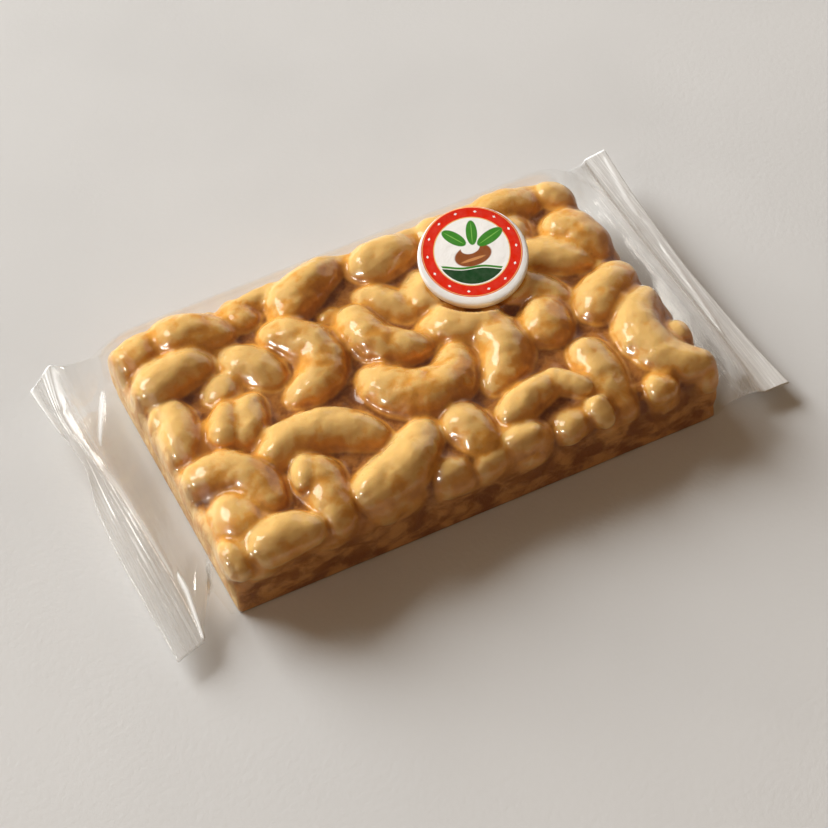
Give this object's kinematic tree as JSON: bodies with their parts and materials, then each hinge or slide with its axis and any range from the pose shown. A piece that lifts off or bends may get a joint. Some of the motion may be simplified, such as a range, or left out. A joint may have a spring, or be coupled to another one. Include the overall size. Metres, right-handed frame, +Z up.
{
  "type": "bagged nut brittle bar",
  "caption": "Rectangular cashew brittle bar sealed in a clear film bag with a ridged crimped strip at each end and a round label on top.",
  "frame": {"origin": "middle of the brittle bar's flat underside, on the surface that the part rests on", "axes": "+X along the bar's long side towards the right-hand strip, +Y towards the back where the label stands, +Z up"},
  "size_m": [0.1312, 0.0726, 0.0216],
  "materials": {
    "brittle": "glossy caramel over roasted nuts",
    "film": "clear thin film, glossy",
    "label": "glossy printed round label with a white rim"
  },
  "bodies": {
    "root": {"bag": "brittle", "label": "label"}
  },
  "joints": []
}
